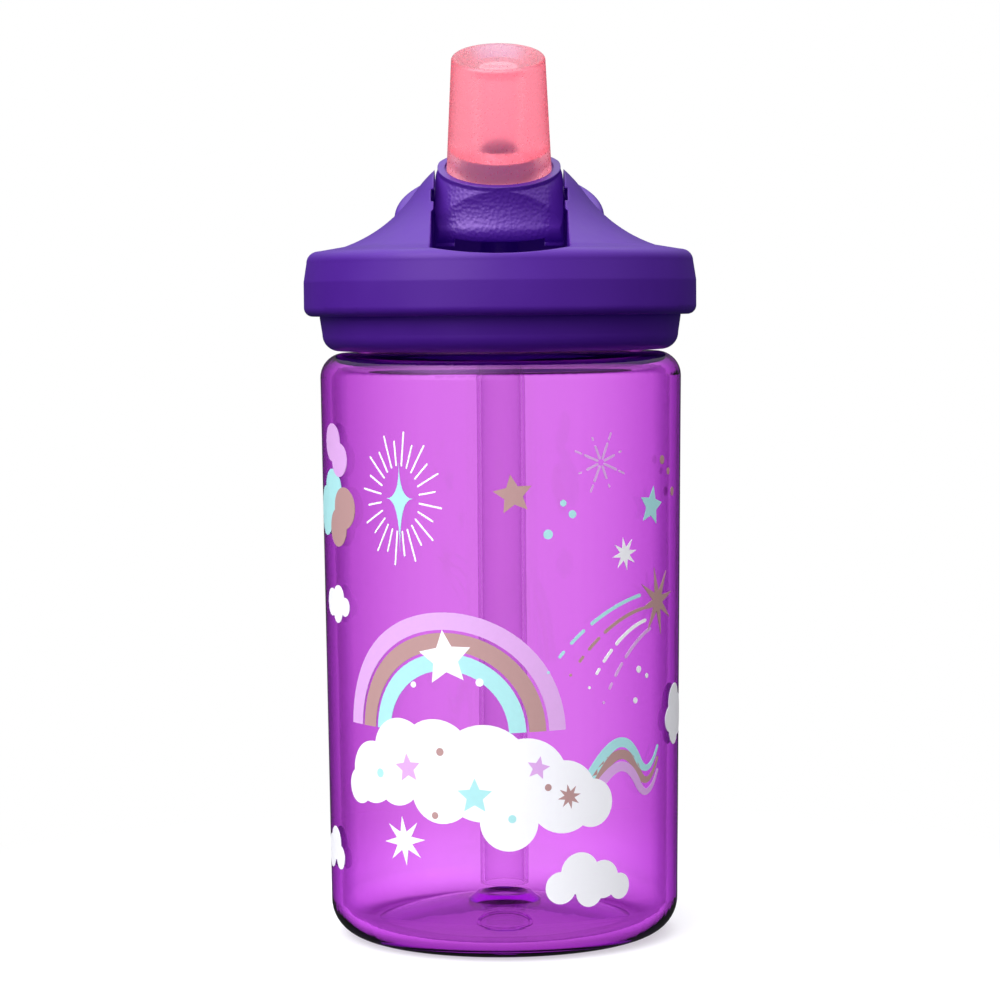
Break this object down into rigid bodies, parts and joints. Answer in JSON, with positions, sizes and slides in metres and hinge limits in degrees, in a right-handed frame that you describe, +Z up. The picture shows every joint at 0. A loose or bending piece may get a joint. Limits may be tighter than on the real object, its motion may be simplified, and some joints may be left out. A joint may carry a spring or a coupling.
{
  "type": "kids water bottle",
  "caption": "Clear tinted kids water bottle with a screw-off lid, carry loop, flip-up spout with a soft bite valve, and a straw.",
  "frame": {"origin": "centre of the base, on the surface the bottle stands on", "axes": "+Z up along the bottle's axis, -Y towards the drinking side with the spout leaning that way, +X along the spout's pivot"},
  "size_m": [0.08, 0.08, 0.1814],
  "materials": {
    "tinted_copolyester": "clear gloss",
    "purple_plastic": "satin",
    "purple_plastic_inner": "satin",
    "pink_silicone": "soft, translucent",
    "clear_silicone": "soft",
    "clear_straw": "clear gloss"
  },
  "bodies": {
    "bottle": {"bottle_body": "tinted_copolyester"},
    "seal_ring": {"cap_gasket": "clear_silicone"},
    "lid": {"inner_cap": "purple_plastic_inner", "lid_shell": "purple_plastic", "port_seal": "clear_silicone", "vent_valve": "clear_silicone", "straw": "clear_straw"},
    "spout": {"spout_stem": "purple_plastic", "bite_valve": "pink_silicone"}
  },
  "joints": [
    {"name": "lid_lift", "type": "slide", "parent": "bottle", "child": "seal_ring", "axis": [0, 0, 1], "range_m": [0, 0.0045]},
    {"name": "lid_turn", "type": "hinge", "parent": "seal_ring", "child": "lid", "pos_m": [0, 0, 0.1372], "axis": [0, 0, 1], "range_deg": [0, 360]},
    {"name": "spout_flip", "type": "hinge", "parent": "lid", "child": "spout", "pos_m": [0, 0, 0.1506], "axis": [1, 0, 0], "range_deg": [0, 55]}
  ],
  "couplings": [
    {"joint": "lid_lift", "follows": "lid_turn", "m_per_rad": 0.0007162}
  ]
}
